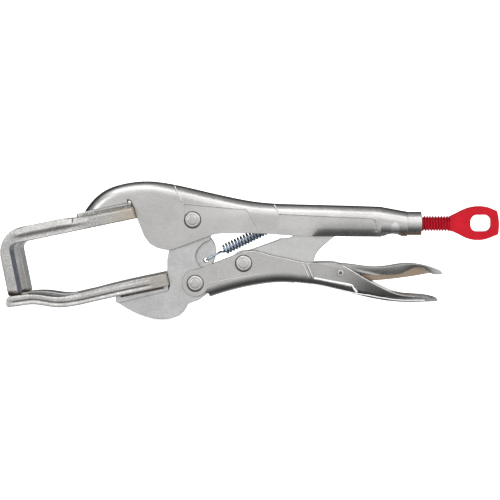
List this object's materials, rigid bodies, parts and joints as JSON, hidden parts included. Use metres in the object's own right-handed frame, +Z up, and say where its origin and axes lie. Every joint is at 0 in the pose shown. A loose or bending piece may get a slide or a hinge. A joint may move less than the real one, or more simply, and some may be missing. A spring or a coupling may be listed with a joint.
{
  "type": "locking welding clamp",
  "caption": "Locking clamp with two-pronged jaws: the upper prongs bend down into legs, the lower prongs are S-bent; toggle handle, return spring, release lever and red adjusting screw.",
  "frame": {"origin": "centre of the main pivot pin, midway between the two sides", "axes": "+X towards the adjusting screw's head, parallel to the screw; Y along the pivot pins; +Z up, from the lower handle to the upper body"},
  "size_m": [0.2489, 0.0286, 0.0697],
  "materials": {
    "plated_steel": "satin nickel plating",
    "forged_steel": "satin plating over a sheared or forged surface",
    "weld_steel": "plated weld bead",
    "pin_steel": "satin, riveted",
    "spring_steel": "dark blued spring wire",
    "red_coating": "satin red coating"
  },
  "bodies": {
    "upper": {"upper_body": "plated_steel", "upper_rail": "forged_steel", "upper_fork": "forged_steel", "upper_weld_near": "weld_steel", "upper_weld_far": "weld_steel", "main_pivot_pin": "pin_steel", "spring_anchor": "plated_steel", "return_spring": "spring_steel"},
    "jaw": {"lower_jaw": "plated_steel", "lower_rail": "forged_steel", "lower_fork": "forged_steel", "lower_weld_near": "weld_steel", "lower_weld_far": "weld_steel"},
    "handle": {"lower_handle": "plated_steel", "jaw_handle_pin": "pin_steel", "toggle_pin": "pin_steel", "release_pin": "pin_steel"},
    "link": {"toggle_link": "plated_steel", "link_spacer_near": "plated_steel", "link_spacer_far": "plated_steel"},
    "lever": {"release_lever": "plated_steel"},
    "screw_ring": {"screw_stop_ring": "plated_steel"},
    "screw": {"adjusting_screw": "red_coating"}
  },
  "joints": [
    {"name": "jaw_pivot", "type": "hinge", "parent": "upper", "child": "jaw", "pos_m": [0, 0, 0], "axis": [0, -1, 0], "range_deg": [0, 12], "deforming": ["return_spring"]},
    {"name": "handle_swing", "type": "hinge", "parent": "jaw", "child": "handle", "pos_m": [0.00125, 0, -0.03185], "axis": [0, 1, 0], "range_deg": [0, 45.3]},
    {"name": "link_swing", "type": "hinge", "parent": "handle", "child": "link", "pos_m": [0.0256, 0, -0.0217], "axis": [0, -1, 0], "range_deg": [0, 50.6]},
    {"name": "release_swing", "type": "hinge", "parent": "handle", "child": "lever", "pos_m": [0.074, 0, -0.0263], "axis": [0, 1, 0], "range_deg": [0, 8]},
    {"name": "screw_travel", "type": "slide", "parent": "upper", "child": "screw_ring", "axis": [1, 0, 0], "range_m": [0, 0.0141]},
    {"name": "screw_turn", "type": "hinge", "parent": "screw_ring", "child": "screw", "pos_m": [0.1, 0, -0.0018], "axis": [1, 0, 0], "range_deg": [0, 3600]}
  ],
  "couplings": [
    {"joint": "handle_swing", "follows": "jaw_pivot", "ratio": 3.771},
    {"joint": "link_swing", "follows": "jaw_pivot", "ratio": 4.209},
    {"joint": "screw_turn", "follows": "screw_travel", "rad_per_m": 4452.6}
  ]
}
